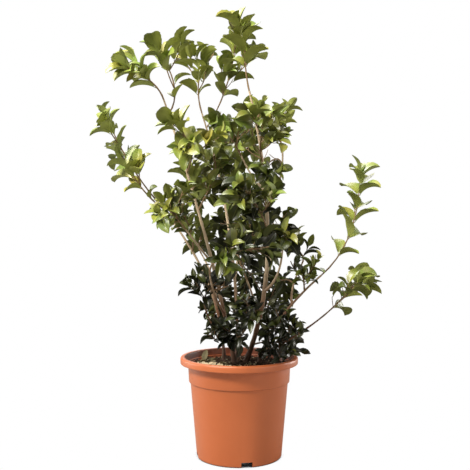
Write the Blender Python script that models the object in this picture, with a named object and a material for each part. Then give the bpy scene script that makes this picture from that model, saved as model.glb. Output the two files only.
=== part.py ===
# Potted holly olive: an evergreen shrub of five stems in a round plastic pot.
# Metres, +Z up. The origin is the middle of the pot's flat underside and the front is -Y.
# The stems stand on the soil, the boughs leave the stems, and each mass of foliage is one
# branching shoot with its leaves, grown from a limb's tip or from its side.

import math
import random

import bmesh
import bpy
import numpy as np
from mathutils import Vector
from mathutils.bvhtree import BVHTree

# Clearance between solids that touch
GAP = 0.0003

# Pot
POT_HEIGHT = 0.218
RIM_RADIUS = 0.130
RIM_DEPTH = 0.015
LIP_RADIUS = 0.119
COLLAR_TOP_RADIUS = 0.113
COLLAR_FOOT_RADIUS = 0.111
COLLAR_FOOT_HEIGHT = 0.163
BODY_TOP_RADIUS = 0.1076
BODY_FOOT_RADIUS = 0.094
WALL = 0.0020
FOOT_ROUNDING = 0.0035
FOOT_RING_WIDTH = 0.006
HUB_RADIUS = 0.022
RECESS_HEIGHT = 0.0115
FLOOR_THICKNESS = 0.0025
NOTCH_WIDTH = 0.0240
NOTCH_HEIGHT = 0.011
NOTCH_COUNT = 4
NOTCH_ANGLE = math.radians(-80.3)
DRAIN_RADIUS = 0.005
DRAIN_RING_RADIUS = 0.058
POT_SEGMENTS = 32
DRAIN_SEGMENTS = 8

# Soil
SOIL_TOP = 0.204
SOIL_MOUND_RADIUS = 0.062
SOIL_EDGE_DROP = 0.006

# Stems: foot on the soil, halfway bend, tip, and the radius at root and tip
STEMS = {
    "stem_right": ((0.016, 0.016), (0.062, -0.025, 0.470), (0.022, -0.020, 0.800), 0.0055, 0.0021),
    "stem_left": ((-0.010, -0.014), (-0.074, -0.045, 0.485), (-0.161, -0.060, 0.774), 0.0044, 0.0018),
    "stem_centre": ((-0.004, 0.046), (-0.022, 0.072, 0.490), (-0.086, 0.070, 0.768), 0.0040, 0.0018),
    "stem_far_left": ((-0.034, 0.016), (-0.072, 0.012, 0.385), (-0.187, 0.020, 0.565), 0.0036, 0.0019),
    "stem_far_right": ((0.044, -0.004), (0.088, -0.020, 0.300), (0.178, -0.030, 0.398), 0.0038, 0.0019),
}
STEM_SIDES = 6
STEM_RINGS = 9
ROOT_FLARE = 0.55
ROOT_FLARE_HEIGHT = 0.012
RING_CROWDING = 1.15

# Boughs: stem, height where it leaves, tip, and the radius at root and tip
BOUGHS = {
    "bough_right_upper": ("stem_right", 0.560, (0.096, 0.004, 0.674), 0.0027, 0.0018),
    "bough_centre_upper": ("stem_right", 0.585, (0.004, 0.016, 0.664), 0.0024, 0.0017),
    "bough_right": ("stem_right", 0.365, (0.092, -0.068, 0.462), 0.0029, 0.0018),
    "bough_right_outer": ("stem_far_right", 0.335, (0.142, 0.034, 0.420), 0.0022, 0.0017),
    "bough_low_right": ("stem_far_right", 0.232, (0.168, -0.056, 0.304), 0.0026, 0.0017),
    "bough_low_left": ("stem_left", 0.262, (-0.072, -0.056, 0.326), 0.0024, 0.0017),
    "bough_left": ("stem_left", 0.430, (-0.112, -0.100, 0.498), 0.0024, 0.0017),
    "bough_front_right": ("stem_right", 0.300, (0.014, -0.140, 0.396), 0.0026, 0.0017),
    "bough_front_left": ("stem_left", 0.320, (-0.060, -0.142, 0.404), 0.0026, 0.0017),
    "bough_back_right": ("stem_right", 0.400, (0.084, 0.150, 0.510), 0.0029, 0.0018),
    "bough_back": ("stem_centre", 0.390, (0.004, 0.182, 0.500), 0.0027, 0.0018),
    "bough_back_left": ("stem_far_left", 0.330, (-0.090, 0.140, 0.440), 0.0026, 0.0017),
}
BOUGH_SIDES = 5
BOUGH_RINGS = 5
BOUGH_COLLAR = 0.3

# A side shoot leaves the bark squarely and swings part of the way to the limb's own heading
SHOOT_SWING = 0.45
SHOOT_PULL = 0.45

# Masses of foliage: limb, height where it leaves or None for the limb's tip,
# tip of the leading shoot, number of side twigs, leaf length, and seed
MASSES = {
    "mass_top": ("stem_right", None, (0.013, -0.014, 0.926), 2, 0.074, 180),
    "mass_right_top_left": ("stem_right", 0.735, (0.027, -0.081, 0.694), 2, 0.066, 996),
    "mass_right_top_right": ("stem_right", 0.715, (0.011, 0.063, 0.762), 2, 0.060, 105),
    "mass_right_upper": ("stem_right", 0.640, (0.050, -0.092, 0.723), 3, 0.062, 172),
    "mass_right_upper_back": ("stem_right", 0.620, (0.018, 0.097, 0.719), 3, 0.064, 711),
    "mass_right_arm_top": ("bough_right_upper", None, (0.070, -0.017, 0.731), 3, 0.056, 609),
    "mass_right_arm_side": ("bough_right_upper", 0.640, (0.035, -0.064, 0.614), 2, 0.058, 711),
    "mass_right_shelf": ("stem_right", 0.490, (0.058, 0.121, 0.439), 3, 0.064, 63),
    "mass_front_upper": ("stem_right", 0.500, (0.005, -0.139, 0.585), 3, 0.066, 928),
    "mass_centre_upper": ("bough_centre_upper", None, (-0.030, -0.051, 0.705), 3, 0.062, 641),
    "mass_right_broad": ("bough_right", None, (0.085, -0.103, 0.483), 3, 0.068, 78),
    "mass_right_outer": ("bough_right_outer", None, (0.080, 0.072, 0.483), 3, 0.062, 584),
    "mass_right_inner": ("bough_right_outer", 0.380, (0.064, 0.111, 0.303), 2, 0.066, 377),
    "mass_far_right_top": ("stem_far_right", None, (0.268, 0.001, 0.623), 1, 0.074, 440),
    "mass_far_right_inner": ("stem_far_right", 0.365, (0.136, -0.060, 0.402), 2, 0.066, 902),
    "mass_foot_right": ("stem_far_right", 0.256, (0.131, 0.020, 0.224), 2, 0.064, 636),
    "mass_far_right_low": ("bough_low_right", None, (0.266, 0.013, 0.390), 2, 0.078, 475),
    "mass_low_right": ("bough_low_right", 0.270, (0.060, -0.109, 0.293), 2, 0.060, 243),
    "mass_foot_front": ("stem_right", 0.245, (0.103, -0.098, 0.254), 2, 0.066, 719),
    "mass_front_right": ("bough_front_right", None, (-0.008, -0.207, 0.473), 3, 0.066, 603),
    "mass_front_centre": ("bough_front_right", 0.360, (0.004, -0.123, 0.343), 3, 0.066, 319),
    "mass_top_left": ("stem_left", None, (-0.236, -0.077, 0.838), 3, 0.058, 763),
    "mass_top_left_upright": ("stem_left", 0.745, (-0.175, -0.055, 0.884), 2, 0.060, 445),
    "mass_upper_left_front": ("stem_left", 0.620, (-0.096, -0.152, 0.673), 3, 0.064, 153),
    "mass_left_arm": ("stem_left", 0.540, (-0.035, -0.090, 0.632), 3, 0.064, 790),
    "mass_left": ("bough_left", None, (-0.140, -0.148, 0.537), 3, 0.064, 791),
    "mass_front_left": ("bough_front_left", None, (0.054, -0.260, 0.464), 3, 0.066, 759),
    "mass_low_left": ("bough_low_left", None, (-0.049, -0.111, 0.388), 3, 0.062, 750),
    "mass_foot_left": ("stem_left", 0.240, (-0.019, -0.098, 0.290), 2, 0.062, 612),
    "mass_far_left_top": ("stem_far_left", None, (-0.302, 0.046, 0.754), 2, 0.060, 840),
    "mass_far_left_upright": ("stem_far_left", 0.545, (-0.260, -0.010, 0.654), 1, 0.062, 631),
    "mass_far_left_inner": ("stem_far_left", 0.500, (-0.097, 0.142, 0.622), 3, 0.066, 966),
    "mass_far_left_low": ("stem_far_left", 0.450, (-0.137, -0.043, 0.555), 2, 0.060, 323),
    "mass_back_left": ("bough_back_left", None, (-0.099, 0.203, 0.476), 3, 0.068, 217),
    "mass_foot_back": ("bough_back_left", 0.350, (-0.034, 0.115, 0.303), 3, 0.066, 756),
    "mass_centre_top_left": ("stem_centre", None, (-0.079, 0.107, 0.911), 3, 0.056, 557),
    "mass_centre_top_right": ("stem_centre", 0.735, (-0.005, 0.093, 0.953), 3, 0.056, 742),
    "mass_centre_inner": ("stem_centre", 0.560, (-0.024, 0.228, 0.702), 3, 0.068, 335),
    "mass_back": ("bough_back", None, (-0.034, 0.285, 0.497), 3, 0.068, 987),
    "mass_back_right": ("bough_back_right", None, (0.008, 0.184, 0.604), 3, 0.068, 889),
    "mass_foot_back_right": ("bough_back", 0.420, (0.078, 0.160, 0.302), 3, 0.066, 929),
}
LEADER_RADIUS = 0.0020
LEADER_TIP_RADIUS = 0.0014
LEADER_RINGS = 4
TWIG_RADIUS = 0.0015
TWIG_TIP_RADIUS = 0.0013
TWIG_RINGS = 2
TWIG_SIDES = 3
TWIG_LENGTH = (0.040, 0.068)
TWIG_LEAN = math.radians(48.0)
TWIG_LEAN_SPREAD = math.radians(9.0)
TWIG_SHARES = (0.30, 0.86)
TWIG_LIFT = 0.30
TWIG_TURN = math.radians(137.5)
TWIG_RETRY_TURN = math.radians(45.0)
TWIG_TRIES = 8
TWIG_SAMPLES = (0.5, 0.75, 1.0)

# Pairs of leaves: distance of the last pair from the tip, distance between pairs, and how the
# distance widens down the shoot as a share of its length
LAST_PAIR = 0.002
PAIR_SPACING = 0.014
PAIR_STRETCH = 0.05
PAIR_TURN = math.radians(90.0)
LEADER_PAIRS = 4
TWIG_PAIRS = 2

# Leaf
LEAF_WIDTH_SHARE = 0.66
LEAF_BELLY_SHARE = 0.46
LEAF_THICKNESS = 0.0014
LEAF_FOLD = 0.22
LEAF_DROOP = 0.16
LEAF_LEAN = (math.radians(46.0), math.radians(76.0))
LEAF_LEAN_PAIRS = 2
LEAF_UPTURN = 0.6
LEAF_OUTTURN = 0.9
CROWN_AXIS = (0.0, 0.02)
LEAF_SIZE_SPREAD = 0.16
LEAF_SINK = 0.0003
LEAF_STALK_SHARE = 0.22
LEAF_TRIES = 9
LEAF_WANDER = (0.20, 0.16)

# Space kept round each mass, and clearance to the limbs and the pot
SPACE_MARGIN = 0.0028
LIMB_MARGIN = 0.0012
POT_MARGIN = 0.003
LIP_MARGIN = 0.009
LEADER_SAMPLES = 24

# Edges sharper than this are drawn as edges
ROUND_ANGLE = math.radians(30.0)
BARK_ANGLE = math.radians(75.0)

# Colour and roughness
TERRACOTTA = ((0.55, 0.155, 0.055), 0.45)
SOIL_BROWN = ((0.035, 0.024, 0.017), 0.95)
BARK = ((0.38, 0.27, 0.18), 0.75)
LEAF_GREEN = ((0.035, 0.095, 0.022), 0.35)

UP = Vector((0.0, 0.0, 1.0))


def mix(low, high, share):
    return low + (high - low) * share


def clear_scene():
    for item in list(bpy.data.objects):
        bpy.data.objects.remove(item, do_unlink=True)


def make_material(name, look):
    colour, roughness = look
    made = bpy.data.materials.new(name)
    made.use_nodes = True
    shader = made.node_tree.nodes["Principled BSDF"]
    shader.inputs["Base Color"].default_value = (*colour, 1.0)
    shader.inputs["Roughness"].default_value = roughness
    shader.inputs["Metallic"].default_value = 0.0
    return made


def make_object(name, shape, material, collection=None):
    points, faces = shape
    mesh = bpy.data.meshes.new(name)
    mesh.from_pydata([tuple(point) for point in points], [], faces)
    if material:
        mesh.materials.append(material)
    made = bpy.data.objects.new(name, mesh)
    (collection or bpy.context.scene.collection).objects.link(made)
    return made


def shade_round(made, sharp_angle):
    made.data.shade_smooth()
    made.data.set_sharp_from_angle(angle=sharp_angle)


# Turned shapes: a profile of radius and height, from the axis at the foot to the axis at the top

def turned(profile, segments):
    points = []
    rows = []
    for radius, height in profile:
        if radius == 0.0:
            rows.append([len(points)] * segments)
            points.append(Vector((0.0, 0.0, height)))
            continue
        rows.append([len(points) + step for step in range(segments)])
        for step in range(segments):
            angle = math.tau * step / segments
            points.append(Vector((radius * math.cos(angle), radius * math.sin(angle), height)))
    faces = []
    for lower, upper in zip(rows, rows[1:]):
        for step in range(segments):
            after = (step + 1) % segments
            corners = (lower[step], lower[after], upper[after], upper[step])
            faces.append(tuple(dict.fromkeys(corners)))
    return points, faces


def pot_profile():
    rim_foot = POT_HEIGHT - RIM_DEPTH
    floor = RECESS_HEIGHT + FLOOR_THICKNESS
    ring_inner = BODY_FOOT_RADIUS - FOOT_ROUNDING - FOOT_RING_WIDTH
    return [
        (0.0, 0.0),
        (HUB_RADIUS, 0.0),
        (HUB_RADIUS, RECESS_HEIGHT),
        (ring_inner, RECESS_HEIGHT),
        (ring_inner, 0.0),
        (BODY_FOOT_RADIUS - FOOT_ROUNDING, 0.0),
        (BODY_FOOT_RADIUS, FOOT_ROUNDING),
        (BODY_TOP_RADIUS, COLLAR_FOOT_HEIGHT),
        (COLLAR_FOOT_RADIUS, COLLAR_FOOT_HEIGHT + WALL * 0.4),
        (COLLAR_TOP_RADIUS, rim_foot),
        (RIM_RADIUS - WALL, rim_foot + WALL * 0.2),
        (RIM_RADIUS, rim_foot + WALL),
        (RIM_RADIUS, POT_HEIGHT - WALL),
        (RIM_RADIUS - WALL, POT_HEIGHT),
        (LIP_RADIUS + WALL * 0.8, POT_HEIGHT),
        (LIP_RADIUS, POT_HEIGHT - WALL),
        (COLLAR_TOP_RADIUS - WALL, rim_foot - WALL),
        (COLLAR_FOOT_RADIUS - WALL, COLLAR_FOOT_HEIGHT + WALL),
        (BODY_TOP_RADIUS - WALL, COLLAR_FOOT_HEIGHT - WALL),
        (pot_inside_radius(floor), floor),
        (0.0, floor),
    ]


def pot_inside_radius(height):
    share = (height - FOOT_ROUNDING) / (COLLAR_FOOT_HEIGHT - FOOT_ROUNDING)
    return BODY_FOOT_RADIUS - WALL + (BODY_TOP_RADIUS - BODY_FOOT_RADIUS) * share


def soil_profile():
    floor = RECESS_HEIGHT + FLOOR_THICKNESS
    rim_foot = POT_HEIGHT - RIM_DEPTH
    edge = SOIL_TOP - SOIL_EDGE_DROP
    climb = (edge - COLLAR_FOOT_HEIGHT) / (rim_foot - COLLAR_FOOT_HEIGHT)
    edge_radius = COLLAR_FOOT_RADIUS + (COLLAR_TOP_RADIUS - COLLAR_FOOT_RADIUS) * climb
    return [
        (0.0, floor + GAP),
        (pot_inside_radius(floor) - GAP, floor + GAP),
        (BODY_TOP_RADIUS - WALL - GAP, COLLAR_FOOT_HEIGHT - WALL),
        (COLLAR_FOOT_RADIUS - WALL - GAP, COLLAR_FOOT_HEIGHT + WALL + GAP),
        (edge_radius - WALL - 2.0 * GAP, edge),
        (SOIL_MOUND_RADIUS, SOIL_TOP),
        (0.0, SOIL_TOP),
    ]


def box_shape(length, width, height):
    # A box that stands on its floor and reaches along +X from its near end
    points = []
    for x in (0.0, length):
        for y in (-0.5 * width, 0.5 * width):
            for z in (0.0, height):
                points.append(Vector((x, y, z)))
    faces = [(0, 1, 3, 2), (4, 6, 7, 5), (0, 4, 5, 1), (2, 3, 7, 6), (0, 2, 6, 4), (1, 5, 7, 3)]
    return points, faces


def moved(shape, offset, turn):
    points, faces = shape
    cosine, sine = math.cos(turn), math.sin(turn)
    placed = []
    for point in points:
        x, y = point.x + offset[0], point.y
        placed.append(Vector((x * cosine - y * sine, x * sine + y * cosine, point.z + offset[1])))
    return placed, faces


def joined(shapes):
    points, faces = [], []
    for more_points, more_faces in shapes:
        start = len(points)
        points.extend(more_points)
        faces.extend(tuple(start + corner for corner in face) for face in more_faces)
    return points, faces


def make_pot():
    terracotta = make_material("terracotta", TERRACOTTA)
    pot = make_object("pot", turned(pot_profile(), POT_SEGMENTS), terracotta)
    ring_inner = BODY_FOOT_RADIUS - FOOT_ROUNDING - FOOT_RING_WIDTH
    notch = box_shape(3.0 * FOOT_RING_WIDTH, NOTCH_WIDTH, 2.0 * NOTCH_HEIGHT)
    drain = turned([
        (0.0, 0.0), (DRAIN_RADIUS, 0.0),
        (DRAIN_RADIUS, 3.0 * FLOOR_THICKNESS), (0.0, 3.0 * FLOOR_THICKNESS),
    ], DRAIN_SEGMENTS)
    cuts = []
    for step in range(NOTCH_COUNT):
        turn = NOTCH_ANGLE + math.tau * step / NOTCH_COUNT
        cuts.append(moved(notch, (ring_inner - 0.5 * FOOT_RING_WIDTH, -NOTCH_HEIGHT), turn))
        cuts.append(moved(drain, (DRAIN_RING_RADIUS, RECESS_HEIGHT - FLOOR_THICKNESS), turn))
    cutter = make_object("pot_cuts", joined(cuts), None)
    cutter.hide_render = True
    cutter.display_type = "WIRE"
    cut = pot.modifiers.new("cuts", "BOOLEAN")
    cut.operation = "DIFFERENCE"
    cut.object = cutter
    shade_round(pot, ROUND_ANGLE)


# Limbs: tapering tubes along a smooth arc

class Arc:
    def __init__(self, root, pull, tip):
        self.root, self.pull, self.tip = Vector(root), Vector(pull), Vector(tip)

    @classmethod
    def through(cls, root, bend, tip):
        # The arc that passes the bend halfway
        root, bend, tip = Vector(root), Vector(bend), Vector(tip)
        return cls(root, 2.0 * bend - 0.5 * (root + tip), tip)

    def point(self, share):
        rest = 1.0 - share
        return self.root * rest * rest + self.pull * 2.0 * rest * share + self.tip * share * share

    def heading(self, share):
        return ((self.pull - self.root) * (1.0 - share) + (self.tip - self.pull) * share).normalized()

    def share_at(self, height):
        low, high = 0.0, 1.0
        for _ in range(30):
            middle = 0.5 * (low + high)
            if self.point(middle).z < height:
                low = middle
            else:
                high = middle
        return 0.5 * (low + high)


def tube(centres, headings, radii, sides):
    # A closed tube of flat sides with a flat cap at each end
    side = headings[0].orthogonal().normalized()
    points = []
    for centre, heading, radius in zip(centres, headings, radii):
        side = (side - heading * side.dot(heading)).normalized()
        across = heading.cross(side)
        for step in range(sides):
            angle = math.tau * step / sides
            points.append(centre + (side * math.cos(angle) + across * math.sin(angle)) * radius)
    faces = []
    for row in range(len(centres) - 1):
        for step in range(sides):
            low = row * sides + step
            low_after = row * sides + (step + 1) % sides
            faces.append((low, low_after, low_after + sides))
            faces.append((low, low_after + sides, low + sides))
    last = (len(centres) - 1) * sides
    faces.append(tuple(reversed(range(sides))))
    faces.append(tuple(range(last, last + sides)))
    return points, faces


class Limb:
    def __init__(self, name, arc, facing, radii, swell, rings, sides):
        # The root is cut square to the surface that it stands on
        root_radius, tip_radius = radii
        reach = (arc.tip - arc.root).length
        centres, headings, widths = [], [], []
        for ring in range(rings + 1):
            share = (ring / rings) ** RING_CROWDING
            centres.append(arc.point(share))
            headings.append(arc.heading(share) if ring else facing)
            flare = swell * math.exp(-share * reach / ROOT_FLARE_HEIGHT)
            widths.append(root_radius * (1.0 + flare) * (1.0 - share) + tip_radius * share)
        self.name, self.arc = name, arc
        self.shape = tube(centres, headings, widths, sides)
        self.skin = BVHTree.FromPolygons(*self.shape)
        self.guard = BVHTree.FromPolygons(*tube(
            centres, headings, [width + LIMB_MARGIN for width in widths], sides))

    def perch(self, height, aim):
        # A point just clear of the bark, the way the bark faces there, and the way the limb runs
        if height is None:
            heading = self.arc.heading(1.0)
            return self.arc.tip + heading * GAP, heading, heading
        share = self.arc.share_at(height)
        centre, heading = self.arc.point(share), self.arc.heading(share)
        away = Vector(aim) - centre
        away = (away - heading * away.dot(heading)).normalized()
        spot, facing, _, _ = self.skin.ray_cast(centre, away)
        if facing.dot(away) < 0.0:
            facing = -facing
        return spot + facing * GAP, facing, heading


def side_arc(limb, height, tip):
    root, facing, heading = limb.perch(height, tip)
    start = (facing * (1.0 - SHOOT_SWING) + heading * SHOOT_SWING).normalized()
    pull = root + start * (Vector(tip) - root).length * SHOOT_PULL
    return Arc(root, pull, tip), facing


def grow_limbs(bark):
    limbs = {}
    for name, (foot, bend, tip, root_radius, tip_radius) in STEMS.items():
        arc = Arc.through((*foot, SOIL_TOP + GAP), bend, tip)
        radii = (root_radius, tip_radius)
        limbs[name] = Limb(name, arc, UP, radii, ROOT_FLARE, STEM_RINGS, STEM_SIDES)
    for name, (stem, height, tip, root_radius, tip_radius) in BOUGHS.items():
        arc, facing = side_arc(limbs[stem], height, tip)
        radii = (root_radius, tip_radius)
        limbs[name] = Limb(name, arc, facing, radii, BOUGH_COLLAR, BOUGH_RINGS, BOUGH_SIDES)
    for limb in limbs.values():
        shade_round(make_object(limb.name, limb.shape, bark), BARK_ANGLE)
    return limbs


# Foliage

def leaf_shape(root, heading, facing, length, width):
    # A thin pointed blade of six faces, folded up along its rib, with its tip bent down
    across = facing.cross(heading)
    tip = root + heading * length - facing * length * LEAF_DROOP
    rib = root.lerp(tip, LEAF_BELLY_SHARE)
    edge_lift = facing * width * LEAF_FOLD
    left = rib + across * width * 0.5 + edge_lift
    right = rib - across * width * 0.5 + edge_lift
    keel = rib - facing * LEAF_THICKNESS
    faces = [(0, 3, 1), (0, 2, 3), (0, 1, 4), (4, 1, 3), (0, 4, 2), (4, 3, 2)]
    return [root, left, right, tip, keel], faces


def leaf_samples(points):
    root, left, right, tip, keel = points
    between = [(side + end) * 0.5 for side in (left, right) for end in (root, tip)]
    return [left, right, tip, keel] + between


def leaf_blade(shape):
    # The leaf without its stalk end, which is sunk in the twig beside its pair's
    points, faces = shape
    return [points[0].lerp(points[4], LEAF_STALK_SHARE)] + points[1:], faces


class Space:
    # The room round one leading shoot that is nearer to it than to any other
    def __init__(self, own, others, limbs):
        self.own = own
        self.others = others
        self.limbs = limbs

    def holds(self, points):
        for point in points:
            place = np.array(point)
            inside = np.linalg.norm(self.own - place, axis=1).min()
            outside = np.linalg.norm(self.others - place, axis=1).min()
            if inside + SPACE_MARGIN > outside:
                return False
            if not clear_of_pot(point):
                return False
        return True

    def clear(self, shape):
        tree = BVHTree.FromPolygons(*shape)
        return not any(limb.guard.overlap(tree) for limb in self.limbs)


def clear_of_pot(point):
    if point.z > POT_HEIGHT + POT_MARGIN:
        return True
    within = math.hypot(point.x, point.y) < LIP_RADIUS - LIP_MARGIN
    return within and point.z > SOIL_TOP + POT_MARGIN


def shoot_tube(arc, facing, rings, root_radius, tip_radius):
    centres, headings, radii = [], [], []
    for ring in range(rings):
        share = ring / (rings - 1)
        centres.append(arc.point(share))
        headings.append(arc.heading(share) if ring or facing is None else facing)
        radii.append(mix(root_radius, tip_radius, share))
    return tube(centres, headings, radii, TWIG_SIDES)


def leaf_places(arc, pairs, turn):
    # Where leaves sit on a shoot: opposite, in crossed pairs, closest together at its tip
    reach = (arc.tip - arc.root).length
    places = []
    for pair in range(pairs):
        share = 1.0 - (LAST_PAIR + PAIR_SPACING * pair) / reach - PAIR_STRETCH * pair * pair
        lean = mix(*LEAF_LEAN, min(1.0, pair / LEAF_LEAN_PAIRS))
        for half in range(2):
            places.append((share, turn + pair * PAIR_TURN + half * math.pi, lean))
    return places


def grow_leaf(arc, place, length, wander, dice):
    share, turn, lean = place
    centre, heading = arc.point(share), arc.heading(share)
    side = heading.orthogonal().normalized()
    across = heading.cross(side)
    angle = turn + dice.uniform(-wander, wander)
    away = side * math.cos(angle) + across * math.sin(angle)
    tilt = lean + dice.uniform(-0.5, 0.5) * wander
    ahead = heading * math.cos(tilt) + away * math.sin(tilt)
    outward = Vector((centre.x - CROWN_AXIS[0], centre.y - CROWN_AXIS[1], 0.0)).normalized()
    facing = heading * math.sin(tilt) - away * math.cos(tilt) + UP * LEAF_UPTURN + outward * LEAF_OUTTURN
    facing = (facing - ahead * facing.dot(ahead)).normalized()
    size = length * (1.0 + dice.uniform(-1.0, 1.0) * LEAF_SIZE_SPREAD)
    return leaf_shape(centre - ahead * LEAF_SINK, ahead, facing, size, size * LEAF_WIDTH_SHARE)


def side_twig(arc, share, turn, dice):
    centre, heading = arc.point(share), arc.heading(share)
    side = heading.orthogonal().normalized()
    away = side * math.cos(turn) + heading.cross(side) * math.sin(turn)
    lean = TWIG_LEAN + dice.uniform(-TWIG_LEAN_SPREAD, TWIG_LEAN_SPREAD)
    length = dice.uniform(*TWIG_LENGTH)
    start = (heading * math.cos(lean) + away * math.sin(lean)).normalized()
    tip = centre + (start + UP * TWIG_LIFT).normalized() * length
    return Arc(centre, centre + start * 0.5 * length, tip)


def crosses(shape, trees):
    tree = BVHTree.FromPolygons(*shape)
    return any(other.overlap(tree) for other in trees)


def grow_mass(arc, facing, twigs, leaf_length, space, seed):
    # The shapes of one mass: its leading shoot, then the twigs and leaves that it has room for
    dice = random.Random(seed)
    turn = dice.uniform(0.0, math.tau)
    leader = shoot_tube(arc, facing, LEADER_RINGS, LEADER_RADIUS, LEADER_TIP_RADIUS)
    shoots = [(arc, leader, LEADER_PAIRS)]
    for step in range(twigs):
        foot = mix(*TWIG_SHARES, (step + 0.5) / twigs)
        for attempt in range(TWIG_TRIES):
            twig = side_twig(arc, foot, turn + step * TWIG_TURN + attempt * TWIG_RETRY_TURN, dice)
            shape = shoot_tube(twig, None, TWIG_RINGS, TWIG_RADIUS, TWIG_TIP_RADIUS)
            if space.holds([twig.point(share) for share in TWIG_SAMPLES]) and space.clear(shape):
                shoots.append((twig, shape, TWIG_PAIRS))
                break
    stalks = [BVHTree.FromPolygons(*shape) for _, shape, _ in shoots]
    blades, leaves = [], []
    for number, (shoot, _, pairs) in enumerate(shoots):
        others = stalks[:number] + stalks[number + 1:]
        for place in leaf_places(shoot, pairs, dice.uniform(0.0, math.tau)):
            for attempt in range(LEAF_TRIES):
                wander = LEAF_WANDER[0] + LEAF_WANDER[1] * attempt
                leaf = grow_leaf(shoot, place, leaf_length, wander, dice)
                blade = leaf_blade(leaf)
                if not space.holds(leaf_samples(leaf[0])) or not space.clear(leaf):
                    continue
                if crosses(blade, blades) or crosses(leaf, others):
                    continue
                blades.append(BVHTree.FromPolygons(*blade))
                leaves.append(leaf)
                break
    return [shape for _, shape, _ in shoots] + leaves


def fuse(name, shapes, material):
    # One closed body from shapes whose roots are sunk in each other
    helpers = bpy.data.collections.new(name + "_shapes")
    bpy.context.scene.collection.children.link(helpers)
    body = make_object(name, shapes[0], material)
    for count, shape in enumerate(shapes[1:]):
        make_object(f"{name}_{count}", shape, None, helpers)
    union = body.modifiers.new("fuse", "BOOLEAN")
    union.operation = "UNION"
    union.operand_type = "COLLECTION"
    union.collection = helpers
    graph = bpy.context.evaluated_depsgraph_get()
    fused = bpy.data.meshes.new_from_object(body.evaluated_get(graph))
    body.modifiers.clear()
    body.data = fused
    fused.name = name
    for helper in list(helpers.objects):
        bpy.data.objects.remove(helper, do_unlink=True)
    bpy.data.collections.remove(helpers)
    keep_outer_body(body)
    body.data.shade_flat()
    return body


def keep_outer_body(body):
    # Drops sealed hollows and loose scraps: only the largest shell stays
    shell = bmesh.new()
    shell.from_mesh(body.data)
    bmesh.ops.triangulate(shell, faces=shell.faces[:])
    unseen = set(shell.faces)
    groups = []
    while unseen:
        start = unseen.pop()
        group, edge = [start], [start]
        while edge:
            face = edge.pop()
            for side in face.edges:
                for near in side.link_faces:
                    if near in unseen:
                        unseen.remove(near)
                        group.append(near)
                        edge.append(near)
        groups.append(group)
    groups.sort(key=len)
    for group in groups[:-1]:
        bmesh.ops.delete(shell, geom=group, context="FACES")
    bmesh.ops.delete(shell, geom=[v for v in shell.verts if not v.link_faces], context="VERTS")
    shell.to_mesh(body.data)
    shell.free()


def grow_masses(limbs, foliage):
    arcs = {}
    for name, (limb, height, tip, _, _, _) in MASSES.items():
        arcs[name] = side_arc(limbs[limb], height, tip)
    tracks = {}
    for name, (arc, _) in arcs.items():
        tracks[name] = np.array([arc.point(step / LEADER_SAMPLES) for step in range(LEADER_SAMPLES + 1)])
    for name, (_, _, _, twigs, leaf_length, seed) in MASSES.items():
        arc, facing = arcs[name]
        others = np.concatenate([track for other, track in tracks.items() if other != name])
        space = Space(tracks[name], others, list(limbs.values()))
        fuse(name, grow_mass(arc, facing, twigs, leaf_length, space, seed), foliage)


def main():
    clear_scene()
    make_pot()
    soil = make_object("soil", turned(soil_profile(), POT_SEGMENTS), make_material("soil", SOIL_BROWN))
    shade_round(soil, ROUND_ANGLE)
    limbs = grow_limbs(make_material("bark", BARK))
    grow_masses(limbs, make_material("foliage", LEAF_GREEN))


main()
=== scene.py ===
import math
import random

import bmesh
import bpy
import numpy as np
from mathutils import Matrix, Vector, noise
from mathutils.bvhtree import BVHTree


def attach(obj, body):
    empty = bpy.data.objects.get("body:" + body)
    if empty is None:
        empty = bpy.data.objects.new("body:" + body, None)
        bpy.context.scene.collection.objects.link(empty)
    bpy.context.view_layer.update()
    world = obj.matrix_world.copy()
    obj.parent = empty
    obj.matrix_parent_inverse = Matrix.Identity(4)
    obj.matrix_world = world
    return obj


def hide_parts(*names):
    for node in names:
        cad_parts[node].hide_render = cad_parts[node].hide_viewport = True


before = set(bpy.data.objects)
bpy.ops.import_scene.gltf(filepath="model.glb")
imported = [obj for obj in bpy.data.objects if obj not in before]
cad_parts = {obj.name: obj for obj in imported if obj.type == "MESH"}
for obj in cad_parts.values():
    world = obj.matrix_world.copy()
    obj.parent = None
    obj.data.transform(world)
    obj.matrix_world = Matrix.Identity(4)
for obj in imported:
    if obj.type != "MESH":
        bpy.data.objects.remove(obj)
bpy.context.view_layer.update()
print("frame loaded:", len(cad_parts), "nodes")

up = Vector((0.0, 0.0, 1.0))
noise.seed_set(5)  # without a seed, noise_vector draws its offsets by the clock


def mix(low, high, share):
    return low + (high - low) * share


def limit(share):
    return max(0.0, min(1.0, share))


def between(value, low, high):
    # how far a value has come from low to high, 0 to 1
    return limit((value - low) / (high - low))


def polar(radius, angle, height=0.0):
    return Vector((radius * math.cos(angle), radius * math.sin(angle), height))


def squareTo(heading, turn):
    # a way square to the heading, turned round it
    side = heading.orthogonal().normalized()
    return side * math.cos(turn) + heading.cross(side) * math.sin(turn)


def srgb(red, green, blue):
    # screen colour 0 to 255, turned into the linear values that a shader takes
    shares = (red / 255, green / 255, blue / 255)
    return tuple(c / 12.92 if c <= 0.04045 else ((c + 0.055) / 1.055) ** 2.4 for c in shares)


# shader maths: Sock wraps a socket, Tree makes nodes, Shade is the tree of one material

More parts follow.
